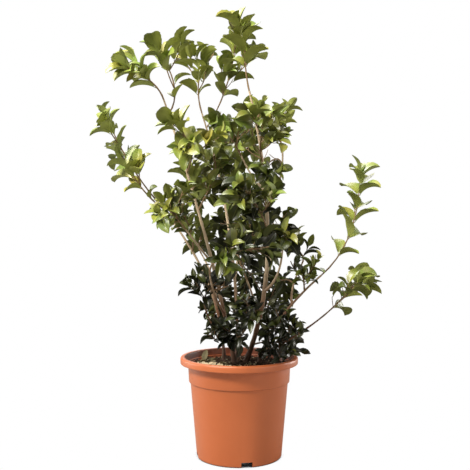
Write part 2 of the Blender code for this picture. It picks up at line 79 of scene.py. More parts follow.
class Sock:
    def __init__(self, tree, socket):
        self.tree, self.socket = tree, socket

    def math(self, operation, first, second):
        return self.tree.node("ShaderNodeMath", {"operation": operation}, {0: first, 1: second})

    def __add__(self, other):
        return self.math("ADD", self, other)

    def __sub__(self, other):
        return self.math("SUBTRACT", self, other)

    def __rsub__(self, other):
        return self.math("SUBTRACT", other, self)

    def __mul__(self, other):
        return self.math("MULTIPLY", self, other)

    __radd__ = __add__
    __rmul__ = __mul__

    def clamp(self):
        return self.math("MINIMUM", self.math("MAXIMUM", self, 0.0), 1.0)

    def steep(self, gain, less):
        # more contrast, kept between 0 and 1
        return (self * gain - less).clamp()


class Tree:
    def __init__(self, tree):
        self.tree = tree

    def node(self, kind, settings=None, values=None, output=0):
        made = self.tree.nodes.new(kind)
        for key, value in (settings or {}).items():
            setattr(made, key, value)
        for key, value in (values or {}).items():
            self.feed(made.inputs[key], value)
        return Sock(self, made.outputs[output])

    def feed(self, target, value):
        if isinstance(value, Sock):
            self.tree.links.new(value.socket, target)
        elif isinstance(value, tuple) and len(value) == 3 and len(target.default_value) == 4:
            target.default_value = (*value, 1.0)
        else:
            target.default_value = value

    def cameraSwitch(self, light, seen):
        # one shader to the light, another to the camera
        path = self.node("ShaderNodeLightPath")
        return self.node("ShaderNodeMixShader", {}, {0: path, 1: light, 2: seen})


class Shade(Tree):
    def __init__(self, name, **constants):
        self.material = bpy.data.materials.new(name)
        self.material.use_nodes = True
        super().__init__(self.material.node_tree)
        self.shader = self.tree.nodes["Principled BSDF"]
        for socket, value in constants.items():
            self.put(socket.replace("_", " "), value)

    def put(self, socket, value):
        self.feed(self.shader.inputs[socket], value)

    def place(self):
        return self.node("ShaderNodeTexCoord", output=3)

    def noise(self, scale, detail=3.0, roughness=0.55):
        values = {"Vector": self.place(), "Scale": scale, "Detail": detail, "Roughness": roughness}
        return self.node("ShaderNodeTexNoise", {}, values)

    def blend(self, factor, first, second):
        return self.node("ShaderNodeMix", {"data_type": "RGBA"}, {0: factor, 6: first, 7: second}, 2)

    def colour(self, factor, first, second):
        # the same, between two screen colours
        return self.blend(factor, srgb(*first), srgb(*second))

    def fall(self, top, span):
        # 0 at the height top and above it, 1 from a span below it down
        height = self.node("ShaderNodeSeparateXYZ", {}, {0: self.place()}, 2)
        return ((height - top) * (-1.0 / span)).clamp()

    def rough(self, grain, least, spread):
        self.put("Roughness", least + grain * spread)

    def bump(self, height, strength, distance):
        values = {"Height": height, "Strength": strength, "Distance": distance}
        self.put("Normal", self.node("ShaderNodeBump", {}, values))


# growth: the shrub's rule of stems, boughs and leading shoots, the same as in the solids

soilTop = 0.204
gap = 0.0003

# stems: foot, a point in the middle, top, radius at the foot and at the top
stems = {
    "stem_right": ((0.016, 0.016), (0.062, -0.025, 0.470), (0.022, -0.020, 0.800), 0.0055, 0.0021),
    "stem_left": ((-0.010, -0.014), (-0.074, -0.045, 0.485), (-0.161, -0.060, 0.774), 0.0044, 0.0018),
    "stem_centre": ((-0.004, 0.046), (-0.022, 0.072, 0.490), (-0.086, 0.070, 0.768), 0.0040, 0.0018),
    "stem_far_left": ((-0.034, 0.016), (-0.072, 0.012, 0.385), (-0.187, 0.020, 0.565), 0.0036, 0.0019),
    "stem_far_right": ((0.044, -0.004), (0.088, -0.020, 0.300), (0.178, -0.030, 0.398), 0.0038, 0.0019),
}

# boughs: the stem, the height where they leave it, tip, radius at the foot and at the tip
boughs = {
    "bough_right_upper": ("stem_right", 0.560, (0.096, 0.004, 0.674), 0.0027, 0.0018),
    "bough_centre_upper": ("stem_right", 0.585, (0.004, 0.016, 0.664), 0.0024, 0.0017),
    "bough_right": ("stem_right", 0.365, (0.092, -0.068, 0.462), 0.0029, 0.0018),
    "bough_right_outer": ("stem_far_right", 0.335, (0.142, 0.034, 0.420), 0.0022, 0.0017),
    "bough_low_right": ("stem_far_right", 0.232, (0.168, -0.056, 0.304), 0.0026, 0.0017),
    "bough_low_left": ("stem_left", 0.262, (-0.072, -0.056, 0.326), 0.0024, 0.0017),
    "bough_left": ("stem_left", 0.430, (-0.112, -0.100, 0.498), 0.0024, 0.0017),
    "bough_front_right": ("stem_right", 0.300, (0.014, -0.140, 0.396), 0.0026, 0.0017),
    "bough_front_left": ("stem_left", 0.320, (-0.060, -0.142, 0.404), 0.0026, 0.0017),
    "bough_back_right": ("stem_right", 0.400, (0.084, 0.150, 0.510), 0.0029, 0.0018),
    "bough_back": ("stem_centre", 0.390, (0.004, 0.182, 0.500), 0.0027, 0.0018),
    "bough_back_left": ("stem_far_left", 0.330, (-0.090, 0.140, 0.440), 0.0026, 0.0017),
}

# masses: the limb, the height where they leave it (or its tip), tip of the leading shoot, side twigs,
# leaf length, seed of the twigs and seed of the finer growth
masses = {
    "mass_top": ("stem_right", None, (0.013, -0.014, 0.926), 2, 0.074, 180, 368),
    "mass_right_top_left": ("stem_right", 0.735, (0.027, -0.081, 0.694), 2, 0.066, 996, 512),
    "mass_right_top_right": ("stem_right", 0.715, (0.011, 0.063, 0.762), 2, 0.060, 105, 69),
    "mass_right_upper": ("stem_right", 0.640, (0.050, -0.092, 0.723), 3, 0.062, 172, 617),
    "mass_right_upper_back": ("stem_right", 0.620, (0.018, 0.097, 0.719), 3, 0.064, 711, 948),
    "mass_right_arm_top": ("bough_right_upper", None, (0.070, -0.017, 0.731), 3, 0.056, 609, 162),
    "mass_right_arm_side": ("bough_right_upper", 0.640, (0.035, -0.064, 0.614), 2, 0.058, 711, 183),
    "mass_right_shelf": ("stem_right", 0.490, (0.058, 0.121, 0.439), 3, 0.064, 63, 206),
    "mass_front_upper": ("stem_right", 0.500, (0.005, -0.139, 0.585), 3, 0.066, 928, 190),
    "mass_centre_upper": ("bough_centre_upper", None, (-0.030, -0.051, 0.705), 3, 0.062, 641, 148),
    "mass_right_broad": ("bough_right", None, (0.085, -0.103, 0.483), 3, 0.068, 78, 552),
    "mass_right_outer": ("bough_right_outer", None, (0.080, 0.072, 0.483), 3, 0.062, 584, 958),
    "mass_right_inner": ("bough_right_outer", 0.380, (0.064, 0.111, 0.303), 2, 0.066, 377, 939),
    "mass_far_right_top": ("stem_far_right", None, (0.268, 0.001, 0.623), 1, 0.074, 440, 932),
    "mass_far_right_inner": ("stem_far_right", 0.365, (0.136, -0.060, 0.402), 2, 0.066, 902, 792),
    "mass_foot_right": ("stem_far_right", 0.256, (0.131, 0.020, 0.224), 2, 0.064, 636, 579),
    "mass_far_right_low": ("bough_low_right", None, (0.266, 0.013, 0.390), 2, 0.078, 475, 433),
    "mass_low_right": ("bough_low_right", 0.270, (0.060, -0.109, 0.293), 2, 0.060, 243, 200),
    "mass_foot_front": ("stem_right", 0.245, (0.103, -0.098, 0.254), 2, 0.066, 719, 232),
    "mass_front_right": ("bough_front_right", None, (-0.008, -0.207, 0.473), 3, 0.066, 603, 230),
    "mass_front_centre": ("bough_front_right", 0.360, (0.004, -0.123, 0.343), 3, 0.066, 319, 162),
    "mass_top_left": ("stem_left", None, (-0.236, -0.077, 0.838), 3, 0.058, 763, 661),
    "mass_top_left_upright": ("stem_left", 0.745, (-0.175, -0.055, 0.884), 2, 0.060, 445, 414),
    "mass_upper_left_front": ("stem_left", 0.620, (-0.096, -0.152, 0.673), 3, 0.064, 153, 699),
    "mass_left_arm": ("stem_left", 0.540, (-0.035, -0.090, 0.632), 3, 0.064, 790, 747),
    "mass_left": ("bough_left", None, (-0.140, -0.148, 0.537), 3, 0.064, 791, 64),
    "mass_front_left": ("bough_front_left", None, (0.054, -0.260, 0.464), 3, 0.066, 759, 807),
    "mass_low_left": ("bough_low_left", None, (-0.049, -0.111, 0.388), 3, 0.062, 750, 692),
    "mass_foot_left": ("stem_left", 0.240, (-0.019, -0.098, 0.290), 2, 0.062, 612, 420),
    "mass_far_left_top": ("stem_far_left", None, (-0.302, 0.046, 0.754), 2, 0.060, 840, 899),
    "mass_far_left_upright": ("stem_far_left", 0.545, (-0.260, -0.010, 0.654), 1, 0.062, 631, 682),
    "mass_far_left_inner": ("stem_far_left", 0.500, (-0.097, 0.142, 0.622), 3, 0.066, 966, 933),
    "mass_far_left_low": ("stem_far_left", 0.450, (-0.137, -0.043, 0.555), 2, 0.060, 323, 250),
    "mass_back_left": ("bough_back_left", None, (-0.099, 0.203, 0.476), 3, 0.068, 217, 904),
    "mass_foot_back": ("bough_back_left", 0.350, (-0.034, 0.115, 0.303), 3, 0.066, 756, 224),
    "mass_centre_top_left": ("stem_centre", None, (-0.079, 0.107, 0.911), 3, 0.056, 557, 796),
    "mass_centre_top_right": ("stem_centre", 0.735, (-0.005, 0.093, 0.953), 3, 0.056, 742, 68),
    "mass_centre_inner": ("stem_centre", 0.560, (-0.024, 0.228, 0.702), 3, 0.068, 335, 484),
    "mass_back": ("bough_back", None, (-0.034, 0.285, 0.497), 3, 0.068, 987, 523),
    "mass_back_right": ("bough_back_right", None, (0.008, 0.184, 0.604), 3, 0.068, 889, 696),
    "mass_foot_back_right": ("bough_back", 0.420, (0.078, 0.160, 0.302), 3, 0.066, 929, 430),
}

limbShape = {
    "stemSides": 6, "stemRings": 9, "rootFlare": 0.55, "rootFlareHeight": 0.012, "ringCrowding": 1.15,
    "boughSides": 5, "boughRings": 5, "collar": 0.3, "swing": 0.45, "pull": 0.45, "clearance": 0.0012,
    "halvings": 30,
}

twigRule = {
    "lean": math.radians(48.0), "leanSpread": math.radians(9.0), "length": (0.040, 0.068),
    "shares": (0.30, 0.86), "lift": 0.30, "turn": math.radians(137.5), "retryTurn": math.radians(45.0),
    "tries": 8, "samples": (0.5, 0.75, 1.0), "leaderRadii": (0.0020, 0.0014), "twigRadii": (0.0015, 0.0013),
    "margin": 0.0028, "trackSteps": 24, "sides": 3, "leaderLeaves": 0.22, "twigLeaves": 0.30,
}

potSize = {
    "height": 0.218, "rimRadius": 0.130, "rimDepth": 0.015, "lipRadius": 0.119,
    "collarTopRadius": 0.113, "collarFootRadius": 0.111, "collarFootHeight": 0.163,
    "bodyTopRadius": 0.1076, "bodyFootRadius": 0.094, "wall": 0.0020,
    "footRounding": 0.0035, "footRingWidth": 0.006, "hubRadius": 0.022,
    "recessHeight": 0.0115, "floorThickness": 0.0025,
    "notchWidth": 0.0240, "notchHeight": 0.011, "notchCount": 4, "notchAngle": math.radians(-80.3),
    "drainRadius": 0.005, "drainRingRadius": 0.058, "leafClearance": 0.003,
}


class Arc:
    def __init__(self, root, pull, tip):
        self.root, self.pull, self.tip = Vector(root), Vector(pull), Vector(tip)

    def point(self, share):
        rest = 1.0 - share
        return self.root * rest * rest + self.pull * 2.0 * rest * share + self.tip * share * share

    def heading(self, share):
        return ((self.pull - self.root) * (1.0 - share) + (self.tip - self.pull) * share).normalized()

    def shareAt(self, height):
        low, high = 0.0, 1.0
        for _ in range(limbShape["halvings"]):
            middle = 0.5 * (low + high)
            low, high = (middle, high) if self.point(middle).z < height else (low, middle)
        return 0.5 * (low + high)

    def reach(self):
        return (self.tip - self.root).length


def ringed(centres, headings, sides):
    # the ways out from a line's centres, carried along it without a twist
    side = headings[0].orthogonal().normalized()
    for ring, (centre, heading) in enumerate(zip(centres, headings)):
        side = (side - heading * side.dot(heading)).normalized()
        across = heading.cross(side)
        for step in range(sides):
            angle = math.tau * step / sides
            yield ring, centre, angle, side * math.cos(angle) + across * math.sin(angle)


def skinFaces(rows, sides, halved):
    # quads between rows of points, or the same cut in triangles, and a flat cap at each end
    faces = []
    for row in range(rows - 1):
        for step in range(sides):
            low, after = row * sides + step, row * sides + (step + 1) % sides
            corners = (low, after, after + sides, low + sides)
            faces += [corners[:3], (corners[0], *corners[2:])] if halved else [corners]
    last = (rows - 1) * sides
    return faces + [tuple(reversed(range(sides))), tuple(range(last, last + sides))]


def tube(centres, headings, radii, sides):
    points = [centre + away * radii[ring] for ring, centre, _, away in ringed(centres, headings, sides)]
    return points, skinFaces(len(centres), sides, True)


class Limb:
    def __init__(self, name, arc, facing, radii, swell, rings, sides):
        self.name, self.arc, self.radii, self.swell = name, arc, radii, swell
        shares = [(ring / rings) ** limbShape["ringCrowding"] for ring in range(rings + 1)]
        centres = [arc.point(share) for share in shares]
        headings = [facing] + [arc.heading(share) for share in shares[1:]]
        widths = [self.radius(share) for share in shares]
        wide = [width + limbShape["clearance"] for width in widths]
        self.skin = BVHTree.FromPolygons(*tube(centres, headings, widths, sides))
        self.guard = BVHTree.FromPolygons(*tube(centres, headings, wide, sides))

    def radius(self, share):
        flare = self.swell * math.exp(-share * self.arc.reach() / limbShape["rootFlareHeight"])
        return self.radii[0] * (1.0 + flare) * (1.0 - share) + self.radii[1] * share

    def perch(self, height, aim):
        # where a shoot leaves the bark, the way the bark faces there, and the way the limb runs
        if height is None:
            heading = self.arc.heading(1.0)
            return self.arc.tip + heading * gap, heading, heading
        share = self.arc.shareAt(height)
        centre, heading = self.arc.point(share), self.arc.heading(share)
        away = Vector(aim) - centre
        away = (away - heading * away.dot(heading)).normalized()
        spot, facing, _, _ = self.skin.ray_cast(centre, away)
        if facing.dot(away) < 0.0:
            facing = -facing
        return spot + facing * gap, facing, heading


def sideArc(limb, height, tip):
    root, facing, heading = limb.perch(height, tip)
    start = (facing * (1.0 - limbShape["swing"]) + heading * limbShape["swing"]).normalized()
    return Arc(root, root + start * (Vector(tip) - root).length * limbShape["pull"], tip), facing


def growLimbs():
    limbs = {}
    for name, (foot, bend, tip, *radii) in stems.items():
        root, bend, tip = Vector((*foot, soilTop + gap)), Vector(bend), Vector(tip)
        arc = Arc(root, 2.0 * bend - 0.5 * (root + tip), tip)
        limbs[name] = Limb(name, arc, up, radii, limbShape["rootFlare"],
                           limbShape["stemRings"], limbShape["stemSides"])
    for name, (stem, height, tip, *radii) in boughs.items():
        arc, facing = sideArc(limbs[stem], height, tip)
        limbs[name] = Limb(name, arc, facing, radii, limbShape["collar"],
                           limbShape["boughRings"], limbShape["boughSides"])
    return limbs


def clearOfPot(point):
    # over the pot, or else inside its lip and over the soil
    room = potSize["leafClearance"]
    within = math.hypot(point.x, point.y) < potSize["lipRadius"] - 3.0 * room
    return point.z > potSize["height"] + room or (within and point.z > soilTop + room)


class Space:
    # the room nearer to one leading shoot than to any other
    def __init__(self, own, others, limbs):
        self.own, self.others, self.limbs = own, others, limbs

    def holds(self, points, margin):
        spots = np.array(points)
        inside = np.linalg.norm(spots[:, None] - self.own[None], axis=2).min(axis=1)
        outside = np.linalg.norm(spots[:, None] - self.others[None], axis=2).min(axis=1)
        return bool((inside + margin <= outside).all()) and all(clearOfPot(point) for point in points)

    def clear(self, shape):
        tree = BVHTree.FromPolygons(*shape)
        return not any(limb.guard.overlap(tree) for limb in self.limbs)


def offshoot(arc, share, turn, lean, length, lift):
    centre, heading = arc.point(share), arc.heading(share)
    start = (heading * math.cos(lean) + squareTo(heading, turn) * math.sin(lean)).normalized()
    tip = centre + (start + up * lift).normalized() * length
    return Arc(centre, centre + start * 0.5 * length, tip)


def shootTube(arc, radii, rings=2):
    shares = [ring / (rings - 1) for ring in range(rings)]
    widths = [mix(*radii, share) for share in shares]
    return tube([arc.point(share) for share in shares], [arc.heading(share) for share in shares], widths,
                twigRule["sides"])


def growTwigs(leader, twigs, space, dice):
    # shoots are kept as arc, radii and the share of the arc where their leaves start
    turn = dice.uniform(0.0, math.tau)
    shoots = [(leader, twigRule["leaderRadii"], twigRule["leaderLeaves"])]
    for step in range(twigs):
        foot = mix(*twigRule["shares"], (step + 0.5) / twigs)
        for attempt in range(twigRule["tries"]):
            around = turn + step * twigRule["turn"] + attempt * twigRule["retryTurn"]
            lean = twigRule["lean"] + dice.uniform(-twigRule["leanSpread"], twigRule["leanSpread"])
            twig = offshoot(leader, foot, around, lean, dice.uniform(*twigRule["length"]), twigRule["lift"])
            held = space.holds([twig.point(share) for share in twigRule["samples"]], twigRule["margin"])
            if held and space.clear(shootTube(twig, twigRule["twigRadii"])):
                shoots.append((twig, twigRule["twigRadii"], twigRule["twigLeaves"]))
                break
    return shoots


# finer growth: spurs and life-size leaves on the same shoots, from the second seed of each mass

spurRule = {
    "share": (0.25, 0.95), "jitter": (0.2, 0.8), "length": (0.014, 0.032), "lean": math.radians(52.0),
    "lift": 0.35, "onLeader": (9, 0), "onTwig": (4, 0), "fade": 1.15, "radii": (0.0009, 0.0007),
    "leaves": 0.35,
}

leafRule = {
    "scale": (0.49, 0.90), "scaleHeights": (0.25, 0.95), "outerSpan": (0.17, 0.24), "outerGain": 0.20,
    "widthShares": (0.38, 0.55), "widthLengths": (0.036, 0.060), "sizeSpread": 0.18,
    "lean": (math.radians(28.0), math.radians(68.0)), "leanPairs": 3, "upright": 0.32,
    "upturn": 0.85, "outturn": 0.5, "crownAxis": (0.0, 0.02),
    "sunward": Vector((-0.30, -0.85, 0.40)), "sunturn": 0.9, "sunAges": (0.50, 0.80),
    "lastPair": 0.002, "spacing": 0.0084, "stretch": 0.0058, "young": (0.90, 1.0, 1.0),
    "turn": math.radians(90.0), "tries": 6, "wander": (0.22, 0.16), "margin": 0.0008, "stalkShare": 0.2,
    "droop": 0.16, "fold": 0.22, "thickness": 0.0014, "belly": 0.46, "stalkRings": 4,
}

ageRule = {
    "start": -0.28, "height": 1.0, "reach": 2.6, "core": 0.08, "depthShare": 0.30,
    "spray": 0.08, "leaf": 0.07, "tipPair": 0.08, "pair": 0.035,
}


def sprayAge(tip):
    # 0 in the heart of the shrub, 1 on the newest outer shoots; the leaf tints follow it, which paints shade
    # into the heart and low down
    axis = leafRule["crownAxis"]
    out = math.hypot(tip.x - axis[0], (tip.y - axis[1]) * ageRule["depthShare"])
    return ageRule["start"] + ageRule["height"] * tip.z + ageRule["reach"] * max(0.0, out - ageRule["core"])


def leafLengthAt(tip, length):
    # leaves are longer high up and far out at the sides
    scale = mix(*leafRule["scale"], between(tip.z, *leafRule["scaleHeights"]))
    return length * (scale * (1.0 + leafRule["outerGain"] * between(abs(tip.x), *leafRule["outerSpan"])))


def leafBreadth(length):
    # the larger a leaf, the broader and rounder its outline
    return between(length, *leafRule["widthLengths"])


def leafWidth(length):
    return length * mix(*leafRule["widthShares"], leafBreadth(length))


def leafProxy(root, heading, facing, length, width):
    # coarse blade for testing room: root, left, right, tip, keel
    across = facing.cross(heading)
    tip = root + heading * length - facing * length * leafRule["droop"]
    rib = root.lerp(tip, leafRule["belly"])
    lift = facing * width * leafRule["fold"]
    left, right = rib + across * width * 0.5 + lift, rib - across * width * 0.5 + lift
    keel = rib - facing * leafRule["thickness"]
    faces = [(0, 3, 1), (0, 2, 3), (0, 1, 4), (4, 1, 3), (0, 4, 2), (4, 3, 2)]
    return [root, left, right, tip, keel], faces


def leafPlaces(arc, startShare, turn, age):
    # opposite pairs, crossed, crowded at the tip and wider apart down the shoot
    reach, places, back, pair = arc.reach(), [], leafRule["lastPair"], 0
    while 1.0 - back / reach > startShare:
        lean = mix(*leafRule["lean"], limit(pair / leafRule["leanPairs"])) * (1.0 - leafRule["upright"] * age)
        for half in range(2):
            places.append((1.0 - back / reach, turn + pair * leafRule["turn"] + half * math.pi, lean, pair))
        back += leafRule["spacing"] + leafRule["stretch"] * pair
        pair += 1
    return places


def poseLeaf(arc, place, length, wander, age, dice):
    share, turn, lean, pair = place
    centre, heading = arc.point(share), arc.heading(share)
    away = squareTo(heading, turn + dice.uniform(-wander, wander))
    tilt = lean + dice.uniform(-0.5, 0.5) * wander
    ahead = heading * math.cos(tilt) + away * math.sin(tilt)
    axis = leafRule["crownAxis"]
    outward = Vector((centre.x - axis[0], centre.y - axis[1], 0.0)).normalized()
    facing = heading * math.sin(tilt) - away * math.cos(tilt)
    facing = facing + up * leafRule["upturn"] + outward * leafRule["outturn"]
    facing = facing + leafRule["sunward"] * leafRule["sunturn"] * between(age, *leafRule["sunAges"])
    facing = (facing - ahead * facing.dot(ahead)).normalized()
    young = leafRule["young"][min(pair, 2)]
    size = length * young * (1.0 + dice.uniform(-1.0, 1.0) * leafRule["sizeSpread"])
    return centre, ahead, facing, size


def growSpurs(shoots, space, age, dice):
    # the heart of the shrub is the densest
    rule, spurs = spurRule, []
    for number, (shoot, _, _) in enumerate(shoots):
        count = round(mix(*rule["onTwig" if number else "onLeader"], limit(age * rule["fade"])))
        for step in range(count):
            foot = mix(*rule["share"], (step + dice.uniform(*rule["jitter"])) / count)
            length, turn = dice.uniform(*rule["length"]), dice.uniform(0.0, math.tau)
            spur = offshoot(shoot, foot, turn, rule["lean"], length, rule["lift"])
            if space.holds([spur.tip], twigRule["margin"]) and space.clear(shootTube(spur, rule["radii"])):
                spurs.append((spur, rule["radii"], rule["leaves"]))
    return spurs


def growLeaves(shoots, space, age, length, dice):
    tubes = [shootTube(shoot, radii, leafRule["stalkRings"]) for shoot, radii, _ in shoots]
    stalks = [BVHTree.FromPolygons(*shape) for shape in tubes]
    blades, leaves = [], []
    for number, (shoot, _, startShare) in enumerate(shoots):
        others = stalks[:number] + stalks[number + 1:]
        for place in leafPlaces(shoot, startShare, dice.uniform(0.0, math.tau), age):
            for attempt in range(leafRule["tries"]):
                wander = leafRule["wander"][0] + leafRule["wander"][1] * attempt
                leaf = poseLeaf(shoot, place, length, wander, age, dice)
                points, faces = leafProxy(*leaf, leafWidth(leaf[3]))
                edges = [(a + b) * 0.5 for a in points[1:3] for b in (points[0], points[3])]
                held = space.holds(points[1:] + edges, leafRule["margin"])
                if not (held and space.clear((points, faces))):
                    continue
                blade = [points[0].lerp(points[4], leafRule["stalkShare"])] + points[1:]
                tree = BVHTree.FromPolygons(blade, faces)
                if any(other.overlap(tree) for other in blades + others):
                    continue
                blades.append(tree)
                leaves.append((*leaf, place[3], number))
                break
    return leaves


limbs = growLimbs()
leaders = {name: sideArc(limbs[limb], height, tip)[0] for name, (limb, height, tip, *_) in masses.items()}
steps = twigRule["trackSteps"]
tracks = {name: np.array([leader.point(step / steps) for step in range(steps + 1)])
          for name, leader in leaders.items()}

sprays = []
for name, (_, _, _, twigs, leafLength, twigSeed, leafSeed) in masses.items():
    others = np.concatenate([track for other, track in tracks.items() if other != name])
    space, leader = Space(tracks[name], others, list(limbs.values())), leaders[name]
    shoots = growTwigs(leader, twigs, space, random.Random(twigSeed))
    dice = random.Random(leafSeed)
    age = limit(sprayAge(leader.tip))
    shoots += growSpurs(shoots, space, age, dice)
    sprays.append((shoots, growLeaves(shoots, space, age, leafLengthAt(leader.tip, leafLength), dice)))
print("shoots", sum(len(shoots) for shoots, _ in sprays), "leaves", sum(len(leaves) for _, leaves in sprays))


def addPiece(name, mesh, materials=()):
    for material in materials:
        mesh.materials.append(material)
    piece = bpy.data.objects.new(name, mesh)
    bpy.context.scene.collection.objects.link(piece)
    return piece


def solidMesh(name, shape, materials=()):
    mesh = bpy.data.meshes.new(name)
    mesh.from_pydata([tuple(point) for point in shape[0]], [], shape[1])
    return addPiece(name, mesh, materials)


def quadMesh(name, points, quads, kinds, materials):
    mesh = bpy.data.meshes.new(name)
    mesh.vertices.add(len(points))
    mesh.vertices.foreach_set("co", points.astype(np.float32).ravel())
    mesh.loops.add(quads.size)
    mesh.loops.foreach_set("vertex_index", quads.astype(np.int32).ravel())
    mesh.polygons.add(len(quads))
    mesh.polygons.foreach_set("loop_start", np.arange(0, quads.size, 4, dtype=np.int32))
    piece = addPiece(name, mesh, materials)
    mesh.polygons.foreach_set("material_index", kinds.astype(np.int32))
    mesh.update(calc_edges=True)
    mesh.validate()
    return piece


def joinShapes(shapes):
    points, faces = [], []
    for morePoints, moreFaces in shapes:
        start = len(points)
        points.extend(morePoints)
        faces.extend(tuple(start + corner for corner in face) for face in moreFaces)
    return points, faces


def dress(piece, sharpest, slot, *replaced):
    # smooth but for edges sharper than this, hung on the root body, with the solids that it stands for hidden
    piece.data.shade_smooth()
    piece.data.set_sharp_from_angle(angle=sharpest)
    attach(piece, "root")
    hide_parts(*replaced)


# leaves: fine closed blades, dealt out to a few tints by spray

leafForm = {
    "blade": 13, "columns": (-1.0, -0.55, -0.07, 0.07, 0.55, 1.0), "stalk": 0.13, "stalkNeck": 0.85,
    "stalkHalf": 0.0006, "baseTaper": 0.70, "tipTaper": (1.06, 0.68), "widthSpread": (0.88, 1.16),
    "teeth": 0.055, "toothSpan": (0.22, 0.90), "fold": (0.62, 1.22), "cup": 0.26, "curl": (0.35, 1.30),
    "curlStart": 0.42, "curlRise": 1.25, "twist": 0.35, "ripple": 0.06, "rippleSpread": (0.3, 1.0),
    "rippleWaves": (11.0, 1.5), "ribSink": 0.00012, "thickness": 0.00042, "ribDepth": 0.0006,
    "tipHalf": 0.00012, "tipShrink": 0.18, "sharpest": math.radians(60.0), "perPiece": 600, "seed": 71,
}


def leafTemplate():
    # faces over a grid of stations and columns: 0 the upper side, 1 the under side, 2 the midrib
    form = leafForm
    blade = [mix(form["stalk"], 1.0, step / form["blade"]) for step in range(form["blade"] + 1)]
    stations = [0.0, form["stalk"] * form["stalkNeck"]] + blade
    rows, columns = len(stations), len(form["columns"])
    top = np.arange(rows * columns).reshape(rows, columns)
    bottom = top.copy()
    bottom[1:-1, 1:-1] = np.arange((rows - 2) * (columns - 2)).reshape(rows - 2, columns - 2) + rows * columns
    corners, quads, kinds = ((0, 0), (1, 0), (1, 1), (0, 1)), [], []
    for row in range(rows - 1):
        for column in range(columns - 1):
            quads.append([top[row + down, column + over] for down, over in corners])
            quads.append([bottom[row + down, column + over] for over, down in corners])
            kinds += [2 if column == 2 else 0, 1]
    return np.array(stations), np.array(quads), np.array(kinds)


stationShares, leafQuads, leafKinds = leafTemplate()


def leafOutline(blade, length, dice):
    # half width at each station, and how far the teeth stand out there
    form = leafForm
    base, tip = form["baseTaper"], mix(*form["tipTaper"], leafBreadth(length))
    peak = base / (base + tip)
    outline = blade ** base * (1.0 - blade) ** tip
    outline = outline / (peak ** base * (1.0 - peak) ** tip)
    half = outline * leafWidth(length) * 0.5 * dice.uniform(*form["widthSpread"])
    toothed = (blade > form["toothSpan"][0]) & (blade < form["toothSpan"][1])
    teeth = dice.uniform(0.0, form["teeth"]) * np.where(np.arange(len(blade)) % 2 == 0, 1.0, -1.0) * toothed
    return np.maximum(half, np.where(stationShares < 0.5, form["stalkHalf"], form["tipHalf"])), teeth


def leafVertices(root, ahead, facing, length, dice):
    form, share = leafForm, stationShares
    blade = np.clip((share - form["stalk"]) / (1.0 - form["stalk"]), 0.0, 1.0)
    half, teeth = leafOutline(blade, length, dice)
    angle = dice.uniform(*form["curl"]) * (form["curlStart"] - form["curlRise"] * share)
    steps = np.diff(share, prepend=0.0) * length
    along, rise = np.cumsum(np.cos(angle) * steps), np.cumsum(np.sin(angle) * steps)
    fold = dice.uniform(*form["fold"])
    phase, ripple = dice.uniform(0.0, math.tau), form["ripple"] * dice.uniform(*form["rippleSpread"])
    twist = dice.uniform(-form["twist"], form["twist"]) * share
    column, width = np.array(form["columns"])[None, :], half[:, None]
    column = column * (1.0 + teeth[:, None] * (np.abs(column) == 1.0))
    waves = phase + share[:, None] * form["rippleWaves"][0] + column * form["rippleWaves"][1]
    y = column * width
    z = width * (fold * np.abs(column) - form["cup"] * column ** 2)
    z = z + width * ripple * np.sin(waves) * np.abs(column)
    z[:, 2:4] -= form["ribSink"] * (share[:, None] > form["stalk"])
    flat = y * np.cos(twist)[:, None] - z * np.sin(twist)[:, None]
    lift = y * np.sin(twist)[:, None] + z * np.cos(twist)[:, None]
    normalX, normalZ = -np.sin(angle)[:, None], np.cos(angle)[:, None]
    top = np.stack([along[:, None] + normalX * lift, flat, rise[:, None] + normalZ * lift], axis=2)
    depth = np.full_like(lift, form["thickness"])
    depth[:, 2:4] = form["ribDepth"]
    depth[share < form["stalk"]] = 2.0 * form["stalkHalf"]
    low = top.copy()
    low[:, :, 0] -= normalX * depth
    low[:, :, 2] -= normalZ * depth
    points = np.concatenate([top.reshape(-1, 3), low[1:-1, 1:-1].reshape(-1, 3)])
    return points @ np.array([ahead, facing.cross(ahead), facing]) + np.array(root)


# tints: screen colours of the blade's face, from the heart of the shrub to its newest shoots: darker deep in
# and low down, lighter high up and far out, partly the paler green of young leaves and partly painted shade
# and light
leafTintsWithShade = {
    # the heart tint is near black: painted shade
    "heart": (19, 22, 4), "deep": (58, 62, 19), "dark": (106, 111, 43), "middle": (132, 135, 55),
    "fresh": (141, 144, 62), "young": (144, 148, 67), "newest": (144, 149, 73),
}

# patch: noise, gain and less; rough: noise, least and spread; relief: noise, strength and depth
leafLook = {
    "face": {"greener": (0.89, 1.0, 0.96), "yellower": (1.15, 1.05, 1.02), "strengths": (0.90, 1.09),
             "patch": (17.0, 3.0, 1.2), "grain": 140.0, "rough": (420.0, 0.29, 0.2),
             "relief": (900.0, 0.12, 0.0003), "sheen": 0.22, "greenSheen": 0.0036,
             "coat": 0.36, "coatRoughness": 0.26},
    "under": {"shares": (0.80, 0.82, 1.0), "lift": (24, 26, 11), "strengths": (0.80, 1.12),
              "patch": (17.0, 3.0, 1.0), "rough": (500.0, 0.5, 0.15),
              "relief": (1100.0, 0.12, 0.0003), "sheen": 0.22},
    "rib": {"shares": (0.8, 0.8, 0.8), "lift": (46, 50, 24), "strengths": (0.9, 1.0),
            "grain": 300.0, "rough": (600.0, 0.36, 0.12)},
}


def tinted(colour, shares, lift=(0, 0, 0), strength=1.0):
    return tuple((c * share + more) * strength for c, share, more in zip(colour, shares, lift))


def leafSkin(shade, look):
    scale, *roughness = look["rough"]
    shade.rough(shade.noise(scale, 2.0), *roughness)
    if "relief" in look:
        scale, *relief = look["relief"]
        shade.bump(shade.noise(scale, 2.0), *relief)
    return shade.material


def leafPatches(shade, look):
    scale, *steepness = look["patch"]
    return shade.noise(scale, 2.0).steep(*steepness)


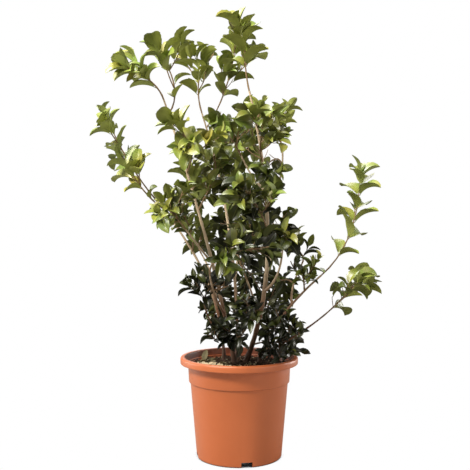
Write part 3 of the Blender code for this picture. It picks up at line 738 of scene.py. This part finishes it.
def leafFace(name, colour, look):
    # greener and yellower leaves in patches about as large as a leaf
    shade = Shade(name, Specular_IOR_Level=look["sheen"] + look["greenSheen"] * colour[1],
                  Coat_Weight=look["coat"], Coat_Roughness=look["coatRoughness"])
    patches, tones = leafPatches(shade, look), []
    for strength in look["strengths"]:
        greener = tinted(colour, look["greener"], strength=strength)
        yellower = tinted(colour, look["yellower"], strength=strength)
        tones.append(shade.colour(patches, greener, yellower))
    shade.put("Base Color", shade.blend(shade.noise(look["grain"]), *tones))
    return leafSkin(shade, look)


def leafUnder(name, colour, look):
    shade = Shade(name, Specular_IOR_Level=look["sheen"])
    pales = [tinted(colour, look["shares"], look["lift"], strength) for strength in look["strengths"]]
    shade.put("Base Color", shade.colour(leafPatches(shade, look), *pales))
    return leafSkin(shade, look)


def leafRib(name, colour, look):
    shade = Shade(name)
    lights = [tinted(colour, look["shares"], look["lift"], strength) for strength in look["strengths"]]
    shade.put("Base Color", shade.colour(shade.noise(look["grain"], 2.0), *lights))
    return leafSkin(shade, look)


def leafMaterials(tint, colour):
    # in the order of leafTemplate's kinds
    return [leafFace("leaf_face_" + tint, colour, leafLook["face"]),
            leafUnder("leaf_under_" + tint, colour, leafLook["under"]),
            leafRib("leaf_rib_" + tint, colour, leafLook["rib"])]


# a lower age, deeper in and lower down, gives a darker tint: painted shade, over the darker green of older
# leaves
def tintOf(age):
    tints = list(leafTintsWithShade)
    return tints[max(0, min(len(tints) - 1, int(age * len(tints))))]


byTint = {tint: [] for tint in leafTintsWithShade}
dice = random.Random(leafForm["seed"])
for shoots, leaves in sprays:
    ages = [sprayAge(shoot.tip) + dice.uniform(-1.0, 1.0) * ageRule["spray"] for shoot, _, _ in shoots]
    for root, ahead, facing, length, pair, number in leaves:
        age = ages[number] + dice.uniform(-1.0, 1.0) * ageRule["leaf"] - ageRule["pair"] * pair
        if pair == 0:
            age += ageRule["tipPair"]
            length *= 1.0 - leafForm["tipShrink"] * leafBreadth(length)
        byTint[tintOf(age)].append(leafVertices(root, ahead, facing, length, dice))

for tint, blades in byTint.items():
    materials = leafMaterials(tint, leafTintsWithShade[tint])
    for start in range(0, len(blades), leafForm["perPiece"]):
        group = blades[start:start + leafForm["perPiece"]]
        quads = np.concatenate([leafQuads + number * len(group[0]) for number in range(len(group))])
        name = "leaves_" + tint + ("_more" if start else "")
        piece = quadMesh(name, np.concatenate(group), quads, np.tile(leafKinds, len(group)), materials)
        dress(piece, leafForm["sharpest"], "foliage", *masses)
        print(name, len(group))


# twigs: the shoots themselves, knotted where a pair of leaves sits

twigForm = {
    "sides": 6, "rings": 9, "knot": 0.22, "slim": 0.88, "tipSlim": 0.72, "sink": 0.002,
    # old colours, lower down: older bark, darkened further as painted shade
    "dark": (100, 78, 52), "light": (150, 122, 86), "oldShadedDark": (54, 37, 25), "oldShadedLight": (96, 68, 46),
    "oldShadedTop": 0.48, "sharpest": math.radians(60.0),
}


def twigMesh(arc, radii):
    # the root is sunk a little in what carries it
    form, rings = twigForm, twigForm["rings"]
    centres, headings, widths = [], [], []
    for ring in range(rings + 1):
        share = ring / rings
        centres.append(arc.point(share) - (Vector() if ring else arc.heading(0.0) * form["sink"]))
        headings.append(arc.heading(share))
        knot = 1.0 + form["knot"] * (ring % 2)
        widths.append(mix(*radii, share) * knot * form["tipSlim" if ring == rings else "slim"])
    return tube(centres, headings, widths, form["sides"])


def twigMaterial():
    shade, look = Shade("twig_bark"), twigForm
    # darker lower down: older bark and painted shade
    grain, agedAndShaded = shade.noise(240.0, 4.0), shade.fall(look["oldShadedTop"], look["oldShadedTop"] - soilTop)
    fresh = shade.colour(grain, look["dark"], look["light"])
    shade.put("Base Color", shade.blend(agedAndShaded, fresh, shade.colour(grain, look["oldShadedDark"], look["oldShadedLight"])))
    shade.rough(shade.noise(500.0, 2.0), 0.62, 0.2)
    shade.bump(shade.noise(800.0), 0.4, 0.0006)
    return shade.material


shapes = [twigMesh(arc, radii) for shoots, _ in sprays for arc, radii, _ in shoots]
dress(solidMesh("twigs", joinShapes(shapes), [twigMaterial()]), twigForm["sharpest"], "bark", *masses)
print("twigs", len(shapes))


# stems and boughs: bark in relief over the limbs of the solids

barkForm = {
    "sides": 20, "ringGap": 0.0028, "fewestRings": 8, "sink": 0.0015, "shift": (3.7, 1.9),
    "ridges": 7, "ridgeDepth": 0.05, "ridgeBend": 5.0, "ridgeScale": 9.0, "lumps": 0.10, "lumpScale": 76.0,
    "scarGap": 0.034, "scarSwell": 0.12, "scarWidth": 0.0035, "wobble": 0.0012, "wobbleScale": 14.0,
    "light": (202, 182, 154), "dark": (150, 126, 98), "fleck": (196, 178, 150),
    # old colours, lower down: older bark, darkened further as painted shade
    "oldShadedTop": 0.42, "oldShadedSpan": 0.10, "oldShadedLight": (124, 84, 56), "oldShadedDark": (68, 42, 27),
    "oldShadedFleck": (138, 102, 72), "sharpest": math.radians(65.0),
    # painted shade at the stems' feet: the bark darkens toward the soil
    "footShadeTop": 0.30, "footShadeSpan": 0.09, "footShadeShare": 0.8, "footShadeColour": (48, 30, 21),
}


def barkMesh(limb, number):
    form, reach = barkForm, limb.arc.reach()
    rings = max(form["fewestRings"], int(reach / form["ringGap"]))
    shift = Vector((number * form["shift"][0], number * form["shift"][1], 0.0))
    centres, headings = [], []
    for ring in range(rings + 1):
        share = ring / rings
        centre = limb.arc.point(share)
        drift = noise.noise_vector((centre + shift) * form["wobbleScale"]) * form["wobble"]
        centres.append(centre + drift * math.sin(math.pi * share))
        headings.append(limb.arc.heading(share))
    if limb.name in stems:
        headings[0] = up
    else:
        centres[0] = centres[0] - headings[0] * form["sink"]
    points = []
    for ring, centre, angle, away in ringed(centres, headings, form["sides"]):
        share = ring / rings
        radius = limb.radius(share)
        fromScar = (share * reach) % form["scarGap"] - 0.5 * form["scarGap"]
        scar = math.exp(-fromScar ** 2 / (2.0 * form["scarWidth"] ** 2))
        lump = noise.noise((centre + away * radius * 3.0 + shift) * form["lumpScale"])
        bend = noise.noise((centre + shift) * form["ridgeScale"]) * form["ridgeBend"]
        relief = 1.0 + form["lumps"] * lump + form["ridgeDepth"] * math.sin(form["ridges"] * angle + bend)
        points.append(centre + away * radius * (relief + form["scarSwell"] * scar))
    return points, skinFaces(rings + 1, form["sides"], False)


def barkMaterial():
    shade, look = Shade("stem_bark"), barkForm
    broad, fine = shade.noise(60.0, 5.0, 0.6), shade.noise(420.0, 4.0, 0.6)
    streaks = broad.steep(1.5, 0.25)
    # darker lower down: older bark and painted shade
    agedAndShaded = shade.fall(look["oldShadedTop"], look["oldShadedSpan"])
    bark = shade.blend(agedAndShaded, shade.colour(streaks, look["dark"], look["light"]),
                       shade.colour(streaks, look["oldShadedDark"], look["oldShadedLight"]))
    flecked = shade.blend(fine * 0.35, bark, shade.colour(agedAndShaded, look["fleck"], look["oldShadedFleck"]))
    # painted shade: the bark is darkened near the soil at the stems' feet
    footShade = shade.fall(look["footShadeTop"], look["footShadeSpan"]) * look["footShadeShare"]
    shade.put("Base Color", shade.blend(footShade, flecked, srgb(*look["footShadeColour"])))
    shade.rough(fine, 0.62, 0.24)
    shade.bump(broad * 0.5 + fine, 0.5, 0.0008)
    return shade.material


limbShapes = [barkMesh(limb, number + 1) for number, limb in enumerate(limbs.values())]
bark = solidMesh("stems_and_boughs", joinShapes(limbShapes), [barkMaterial()])
dress(bark, barkForm["sharpest"], "bark", *limbs)
print("limbs", len(limbShapes))


# pot: turned with rounded corners, notches and drain holes cut through

# the last colour darkens the pot's inner wall: painted shade, with some soil staining
potLook = {
    "segments": 160, "arcSteps": 5, "sharpest": math.radians(32.0), "draft": 0.0006, "swell": 0.0003,
    "cornerRoom": 0.45, "notchInset": 0.005, "notchDepth": 0.018, "drainSegments": 24, "drainDepth": 0.008,
    "colour": (186, 97, 49), "dark": (170, 85, 41), "light": (196, 107, 59), "innerShadeAndStain": (84, 42, 26),
}


def potProfile():
    # radius, height, corner rounding
    p, wall = potSize, potSize["wall"]
    rimFoot, collarFoot = p["height"] - p["rimDepth"], p["collarFootHeight"]
    floor, recess = p["recessHeight"] + p["floorThickness"], p["recessHeight"]
    ringInner = p["bodyFootRadius"] - p["footRounding"] - p["footRingWidth"]
    climb = (floor - p["footRounding"]) / (collarFoot - p["footRounding"])
    footInside = p["bodyFootRadius"] - wall + (p["bodyTopRadius"] - p["bodyFootRadius"]) * climb
    return [
        (0.0, 0.0, 0.0),
        (p["hubRadius"], 0.0, 0.0012),
        (p["hubRadius"], recess, 0.0012),
        (ringInner, recess, 0.0015),
        (ringInner, 0.0, 0.0008),
        (p["bodyFootRadius"] - potLook["draft"], 0.0, p["footRounding"]),
        (p["bodyTopRadius"], collarFoot, 0.0012),
        (p["collarFootRadius"], collarFoot + wall * 0.4, 0.0018),
        (p["collarTopRadius"], rimFoot, 0.0010),
        (p["rimRadius"] - potLook["swell"], rimFoot + wall * 0.2, 0.0022),
        (p["rimRadius"], p["height"], 0.0048),
        (p["lipRadius"], p["height"], 0.0030),
        (p["lipRadius"] - potLook["draft"], rimFoot - wall, 0.0030),
        (p["collarFootRadius"] - wall, rimFoot - 2.0 * wall, 0.0020),
        (p["collarFootRadius"] - wall, collarFoot + wall, 0.0015),
        (p["bodyTopRadius"] - wall, collarFoot - wall, 0.0015),
        (footInside, floor, 0.0020),
        (0.0, floor, 0.0),
    ]


def roundedLine(corners, steps):
    line = []
    for number, (x, y, rounding) in enumerate(corners):
        here = Vector((x, y))
        if rounding <= 0.0:
            line.append(here)
            continue
        before, after = Vector(corners[number - 1][:2]) - here, Vector(corners[number + 1][:2]) - here
        room = potLook["cornerRoom"] * min(before.length, after.length)
        cut = min(room, rounding / math.tan(before.angle(after) * 0.5))
        start, end = here + before.normalized() * cut, here + after.normalized() * cut
        for step in range(steps + 1):
            share = step / steps
            line.append(start * (1 - share) ** 2 + here * 2 * share * (1 - share) + end * share ** 2)
    return line


def turned(line, segments):
    # a line of radius and height, turned about the upright axis and closed on it
    points, rows, faces = [], [], []
    for radius, height in line:
        start, spots = len(points), segments if radius else 1
        rows.append([start + step % spots for step in range(segments)])
        points += [polar(radius, math.tau * step / segments, height) for step in range(spots)]
    for lower, upper in zip(rows, rows[1:]):
        for step in range(segments):
            after = (step + 1) % segments
            faces.append(tuple(dict.fromkeys((lower[step], lower[after], upper[after], upper[step]))))
    return points, faces


def notchCutter(angle):
    reach = potSize["bodyFootRadius"] - potLook["notchInset"]
    size = (potLook["notchDepth"], potSize["notchWidth"], 2.0 * potSize["notchHeight"])
    cut = bmesh.new()
    bmesh.ops.create_cube(cut, size=1.0)
    bmesh.ops.scale(cut, vec=size, verts=cut.verts)
    bmesh.ops.translate(cut, vec=(reach, 0.0, 0.0), verts=cut.verts)
    mesh = bpy.data.meshes.new("notch")
    cut.to_mesh(mesh)
    cut.free()
    made = addPiece("notch", mesh)
    made.rotation_euler.z = angle
    return made


def drainCutter(angle):
    radius, depth = potSize["drainRadius"], potLook["drainDepth"]
    line = [(0.0, 0.0), (radius, 0.0), (radius, depth), (0.0, depth)]
    made = solidMesh("drain", turned(line, potLook["drainSegments"]))
    underFloor = potSize["recessHeight"] - potSize["floorThickness"]
    made.location = polar(potSize["drainRingRadius"], angle, underFloor)
    return made


def cutAway(piece, cutters):
    group = bpy.data.collections.new("cutters")
    bpy.context.scene.collection.children.link(group)
    for cutter in cutters:
        bpy.context.scene.collection.objects.unlink(cutter)
        group.objects.link(cutter)
    cut = piece.modifiers.new("cut", "BOOLEAN")
    cut.operation = "DIFFERENCE"
    cut.operand_type = "COLLECTION"
    cut.collection = group
    graph = bpy.context.evaluated_depsgraph_get()
    mesh = bpy.data.meshes.new_from_object(piece.evaluated_get(graph))
    piece.modifiers.clear()
    piece.data = mesh
    for cutter in cutters:
        bpy.data.objects.remove(cutter, do_unlink=True)
    bpy.data.collections.remove(group)


def plasticMaterial():
    shade = Shade("pot_plastic", Roughness=0.42, Specular_IOR_Level=0.6, Coat_Weight=0.2, Coat_Roughness=0.3)
    cloud, speck = shade.noise(9.0, 4.0, 0.6), shade.noise(1500.0, 2.0)
    clouded = shade.colour(cloud.steep(1.6, 0.3), potLook["dark"], potLook["light"])
    clean = shade.blend(0.55, clouded, srgb(*potLook["colour"]))
    fromAxis, normal = {0: shade.place(), 1: (1.0, 1.0, 0.0)}, shade.node("ShaderNodeNewGeometry", output=1)
    across = shade.node("ShaderNodeVectorMath", {"operation": "MULTIPLY"}, fromAxis)
    outwards = shade.node("ShaderNodeVectorMath", {"operation": "DOT_PRODUCT"}, {0: across, 1: normal}, 1)
    # the inner wall, where the surface faces the pot's axis, is darkened: painted shade, with some staining
    # by the soil
    inner = ((outwards * -20.0).clamp() * (0.6 + shade.noise(40.0, 4.0, 0.6) * 0.5)).clamp()
    shade.put("Base Color", shade.blend(inner, clean, srgb(*potLook["innerShadeAndStain"])))
    shade.put("Roughness", 0.36 + cloud * 0.16 + speck * 0.05)
    shade.bump(speck * 0.4 + shade.noise(220.0), 0.12, 0.0006)
    return shade.material


profile = roundedLine(potProfile(), potLook["arcSteps"])
pot = solidMesh("flower_pot", turned(profile, potLook["segments"]), [plasticMaterial()])
cutters = []
for step in range(potSize["notchCount"]):
    angle = potSize["notchAngle"] + math.tau * step / potSize["notchCount"]
    cutters += [notchCutter(angle), drainCutter(angle)]
bpy.context.view_layer.update()
cutAway(pot, cutters)
dress(pot, potLook["sharpest"], "terracotta", "pot")
print("pot", len(pot.data.polygons))


# soil: a rough mound with crumbs, pale grit and chips, and dry leaves

soilLook = {
    "rings": 46, "segments": 120, "edge": 0.1085, "edgeDrop": 0.006, "floorRadius": 0.105, "depth": 0.030,
    "moundRadius": 0.062, "rough": 0.0024, "roughScale": 60.0, "roughFrom": 0.012,
    "heap": 0.013, "heapRadius": 0.094, "heapWidth": 0.016, "heapSide": math.radians(234.0),
    "heapSpread": 0.46, "sharpest": math.radians(40.0), "seed": 19,
    "dark": (20, 14, 11), "light": (50, 36, 27), "grain": 260.0,
}

looseRule = {
    "side": math.radians(234.0), "sideSpread": 0.40, "sideInside": 0.55, "reach": 0.985, "bedding": 0.2,
    "stretch": ((0.6, 1.5), (0.6, 1.2), (0.4, 0.9)), "dents": (0.75, 1.2),
}

looseKinds = {
    "soil_crumbs": {"count": 1700, "size": (0.0012, 0.0040), "oneSide": 0.0, "material": "soil_crumb",
                    "dark": (26, 18, 13), "light": (72, 52, 37), "grain": 400.0},
    "soil_grit": {"count": 90, "size": (0.0010, 0.0022), "oneSide": 0.5, "material": "soil_grit_pale",
                  "dark": (164, 152, 126), "light": (220, 208, 180), "grain": 500.0},
    "soil_chips": {"count": 420, "size": (0.0014, 0.0042), "oneSide": 0.85, "material": "soil_chip_pale",
                   "dark": (150, 122, 86), "light": (250, 234, 200), "grain": 500.0},
}

litterLook = {
    "count": 15, "length": (0.014, 0.030), "side": (math.radians(222.0), 0.40), "inside": (0.05, 0.80),
    "tilt": (-0.12, 0.30), "sway": 0.3, "lift": 0.0035,
    "dark": (72, 64, 45), "light": (132, 124, 96), "grain": 220.0,
    "upright": {"place": (-0.078, -0.034), "length": 0.034, "turn": math.radians(70.0), "tilt": 0.95,
                "facing": Vector((-0.2, -1.0, 0.3)), "lift": 0.001},
}


def soilHeight(radius, angle):
    look = soilLook
    drop = max(0.0, (radius - look["moundRadius"]) / (look["edge"] - look["moundRadius"]))
    rough = noise.fractal(polar(radius, angle) * look["roughScale"], 0.9, 2.0, 5) * look["rough"]
    aside = (angle % math.tau - look["heapSide"]) / look["heapSpread"]
    inward = (radius - look["heapRadius"]) / look["heapWidth"]
    heap = look["heap"] * math.exp(-0.5 * (aside * aside + inward * inward))
    return soilTop - drop * look["edgeDrop"] + rough * min(1.0, radius / look["roughFrom"]) + heap


def onSoil(radius, angle, lift=0.0):
    return polar(radius, angle, soilHeight(radius, angle) + lift)


def soilShape():
    look, segments = soilLook, soilLook["segments"]
    turns = [math.tau * step / segments for step in range(segments)]
    points = [Vector((0.0, 0.0, soilTop))]
    for ring in range(1, look["rings"] + 1):
        points += [onSoil(look["edge"] * ring / look["rings"], angle) for angle in turns]
    points += [polar(look["floorRadius"], angle, soilTop - look["depth"]) for angle in turns]
    faces = [(0, 1 + step, 1 + (step + 1) % segments) for step in range(segments)]
    for ring in range(look["rings"]):
        low = 1 + ring * segments
        for step in range(segments):
            after = (step + 1) % segments
            faces.append((low + step, low + segments + step, low + segments + after, low + after))
    floor = 1 + look["rings"] * segments
    return points, faces + [tuple(floor + step for step in reversed(range(segments)))]


def lumpShape(centre, size, dice):
    lump = bmesh.new()
    bmesh.ops.create_icosphere(lump, subdivisions=1, radius=size)
    stretch = Vector([dice.uniform(*span) for span in looseRule["stretch"]])
    turn = dice.uniform(0.0, math.tau)
    points = []
    for vertex in lump.verts:
        spot = Vector(a * b for a, b in zip(vertex.co, stretch)) * dice.uniform(*looseRule["dents"])
        points.append(centre + Vector((spot.x * math.cos(turn) - spot.y * math.sin(turn),
                                       spot.x * math.sin(turn) + spot.y * math.cos(turn), spot.z)))
    faces = [tuple(vertex.index for vertex in face.verts) for face in lump.faces]
    lump.free()
    return points, faces


def looseShapes(kind, dice):
    shapes = []
    for _ in range(kind["count"]):
        inside, angle = 0.0, dice.uniform(0.0, math.tau)
        if dice.random() < kind["oneSide"]:
            inside, angle = looseRule["sideInside"], dice.gauss(looseRule["side"], looseRule["sideSpread"])
        radius = soilLook["edge"] * looseRule["reach"] * math.sqrt(dice.uniform(inside, 1.0))
        size = dice.uniform(*kind["size"])
        shapes.append(lumpShape(onSoil(radius, angle, size * looseRule["bedding"]), size, dice))
    return joinShapes(shapes)


def soilMaterial(name, look):
    shade = Shade(name, Roughness=0.95, Specular_IOR_Level=0.2)
    crumbs = shade.noise(look["grain"], 5.0, 0.65)
    shade.put("Base Color", shade.colour(crumbs, look["dark"], look["light"]))
    shade.rough(crumbs, 0.86, 0.12)
    shade.bump(crumbs, 0.7, 0.0015)
    return shade.material


def dryLeaf(root, turn, tilt, facing, length, dice):
    # facing is squared to the way that the leaf points
    ahead = Vector((math.cos(turn) * math.cos(tilt), math.sin(turn) * math.cos(tilt), math.sin(tilt)))
    facing = (facing - ahead * facing.dot(ahead)).normalized()
    if (root + ahead * length).xy.length > soilLook["edge"]:
        root = root - ahead * length
    return leafVertices(root, ahead, facing, length, dice)


def litterShapes(dice):
    # dry leaves lying about, thickest at the front left, and one that stands up
    look, blades = litterLook, []
    for number in range(look["count"]):
        radius = soilLook["edge"] * math.sqrt(dice.uniform(*look["inside"]))
        angle = dice.gauss(*look["side"]) if number % 3 else dice.uniform(0.0, math.tau)
        turn, tilt = dice.uniform(0.0, math.tau), dice.uniform(*look["tilt"])
        sway = [dice.uniform(-look["sway"], look["sway"]) for _ in range(2)]
        root, length = onSoil(radius, angle, look["lift"]), dice.uniform(*look["length"])
        blades.append(dryLeaf(root, turn, tilt, up + Vector((*sway, 0.0)), length, dice))
    one = look["upright"]
    root = onSoil(math.hypot(*one["place"]), math.atan2(*reversed(one["place"])), one["lift"])
    blades.append(dryLeaf(root, one["turn"], one["tilt"], one["facing"], one["length"], dice))
    quads = np.concatenate([leafQuads + number * len(blade) for number, blade in enumerate(blades)])
    return np.concatenate(blades), quads


dice = random.Random(soilLook["seed"])
soilPieces = [solidMesh("soil_surface", soilShape(), [soilMaterial("soil_dark", soilLook)])]
for name, kind in looseKinds.items():
    soilPieces.append(solidMesh(name, looseShapes(kind, dice), [soilMaterial(kind["material"], kind)]))
points, quads = litterShapes(dice)
dryMaterial = soilMaterial("dry_leaf", litterLook)
soilPieces.append(quadMesh("soil_dry_leaves", points, quads, np.zeros(len(quads)), [dryMaterial]))
for piece in soilPieces:
    dress(piece, soilLook["sharpest"], "soil", "soil")
print("soil", len(soilPieces))


# floor, light and camera

studio = {
    "floorSize": 40.0, "floorDrop": 0.0002, "floorBounce": (0.30, 0.29, 0.27), "contactReach": 0.030,
    "contactSamples": 12,
    "cameraPlace": (-0.0093, -1.584, 0.486), "focal": 715.0, "frameWidth": 470.0, "sensor": 36.0,
    "ambient": 0.26, "ambientColour": (1.0, 0.96, 0.86),
}

# each lamp: place, height that it aims at on the upright axis, width and height, power and colour
lamps = {
    "key": ((-1.6, -1.4, 2.1), 0.4, (0.6, 0.6), 88.0, (1.0, 0.96, 0.89)),
    "top": ((-0.6, -0.8, 2.7), 0.4, (0.8, 0.8), 66.0, (1.0, 0.97, 0.91)),
    "fill": ((1.9, -1.6, 0.9), 0.5, (1.6, 1.6), 19.0, (1.0, 0.92, 0.83)),
    "back": ((-0.4, 1.9, 1.9), 0.6, (1.4, 1.4), 22.0, (1.0, 0.98, 0.94)),
    "leftSheen": ((-2.0, 0.7, 0.6), 0.2, (1.0, 1.2), 22.0, (1.0, 0.98, 0.95)),
    "rightSheen": ((1.9, 1.2, 0.6), 0.2, (0.9, 1.2), 26.0, (1.0, 0.98, 0.95)),
}


def addFloor():
    # white to the camera, with a soft contact shade; a plain pale matt floor to the light
    size = studio["floorSize"]
    points = [Vector((x * size, y * size, 0.0)) for x, y in ((-1, -1), (1, -1), (1, 1), (-1, 1))]
    shade = Shade("studio_floor", Roughness=0.9, Specular_IOR_Level=0.1, Base_Color=studio["floorBounce"])
    reach = {"Distance": studio["contactReach"]}
    openness = shade.node("ShaderNodeAmbientOcclusion", {"samples": studio["contactSamples"]}, reach, 1)
    glow = shade.node("ShaderNodeEmission", {}, {"Color": openness.steep(5.0, 1.5), "Strength": 1.0})
    seen = shade.cameraSwitch(Sock(shade, shade.shader.outputs[0]), glow)
    shade.feed(shade.tree.nodes["Material Output"].inputs["Surface"], seen)
    floor = solidMesh("floor", (points, [(0, 1, 2, 3)]), [shade.material])
    floor.location.z = -studio["floorDrop"]


def addWorld():
    # soft light from all round, plain white to the camera
    world = bpy.data.worlds.new("studio")
    bpy.context.scene.world = world
    world.use_nodes = True
    sky = Tree(world.node_tree)
    ambient, output = sky.tree.nodes["Background"], sky.tree.nodes["World Output"]
    sky.feed(ambient.inputs["Color"], studio["ambientColour"])
    sky.feed(ambient.inputs["Strength"], studio["ambient"])
    white = sky.node("ShaderNodeBackground", {}, {"Color": (1.0, 1.0, 1.0), "Strength": 1.0})
    sky.feed(output.inputs["Surface"], sky.cameraSwitch(Sock(sky, ambient.outputs[0]), white))


def addLamp(name, place, aim, size, power, colour):
    lamp = bpy.data.lights.new(name, "AREA")
    lamp.shape = "RECTANGLE"
    lamp.size, lamp.size_y = size
    lamp.energy, lamp.color = power, colour
    made = bpy.data.objects.new(name, lamp)
    made.location = place
    made.rotation_euler = (Vector((0.0, 0.0, aim)) - Vector(place)).to_track_quat("-Z", "Y").to_euler()
    bpy.context.scene.collection.objects.link(made)


def addCamera():
    data = bpy.data.cameras.new("camera")
    data.sensor_width = studio["sensor"]
    data.lens = studio["focal"] / studio["frameWidth"] * studio["sensor"]
    camera = bpy.data.objects.new("camera", data)
    camera.location = studio["cameraPlace"]
    camera.rotation_euler = (math.radians(90.0), 0.0, 0.0)
    bpy.context.scene.collection.objects.link(camera)
    bpy.context.scene.camera = camera


addFloor()
for name, look in lamps.items():
    addLamp(name, *look)
addWorld()
addCamera()
bpy.context.scene.view_settings.view_transform = "Standard"
print("studio ready")
